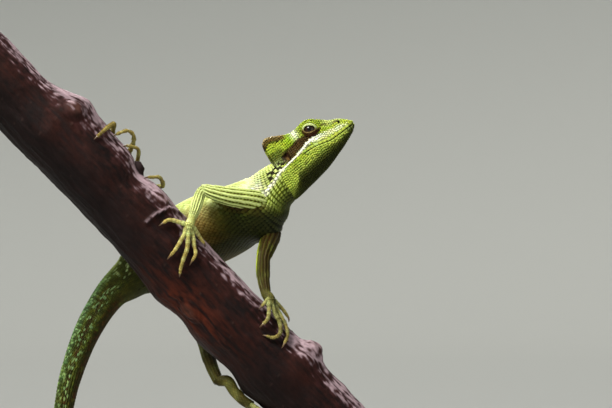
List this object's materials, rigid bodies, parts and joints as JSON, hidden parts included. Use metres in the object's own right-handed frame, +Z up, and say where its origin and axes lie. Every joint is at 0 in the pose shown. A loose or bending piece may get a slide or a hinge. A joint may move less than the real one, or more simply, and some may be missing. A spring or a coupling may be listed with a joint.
{
  "type": "casque-headed iguana model",
  "caption": "Life-size still model of a casque-headed iguana gripping a cut length of slanting branch, with its long tail hanging, on a rod and flat base.",
  "frame": {"origin": "centre of the underside of the stand's base", "axes": "+Z up, +X the way the head points, -Y towards the side that the view shows"},
  "size_m": [0.1971, 0.14, 0.4874],
  "materials": {
    "skin": "small keeled scales, bright green, satin",
    "eye": "wet, dark brown iris and black pupil",
    "bark": "rough reddish brown bark",
    "base": "plain pale wood, satin",
    "steel": "brushed"
  },
  "bodies": {
    "root": {"head": "skin", "neck": "skin", "chest": "skin", "belly": "skin", "pelvis": "skin", "tail_1": "skin", "tail_2": "skin", "tail_3": "skin", "tail_4": "skin", "tail_5": "skin", "upper_arm_right": "skin", "forearm_right": "skin", "hand_right": "skin", "upper_arm_left": "skin", "forearm_left": "skin", "hand_left": "skin", "thigh_right": "skin", "shank_right": "skin", "foot_right": "skin", "thigh_left": "skin", "shank_left": "skin", "foot_left": "skin", "eye_right": "eye", "eye_left": "eye", "branch": "bark", "stand_base": "base", "stand_rod": "steel"}
  },
  "joints": []
}
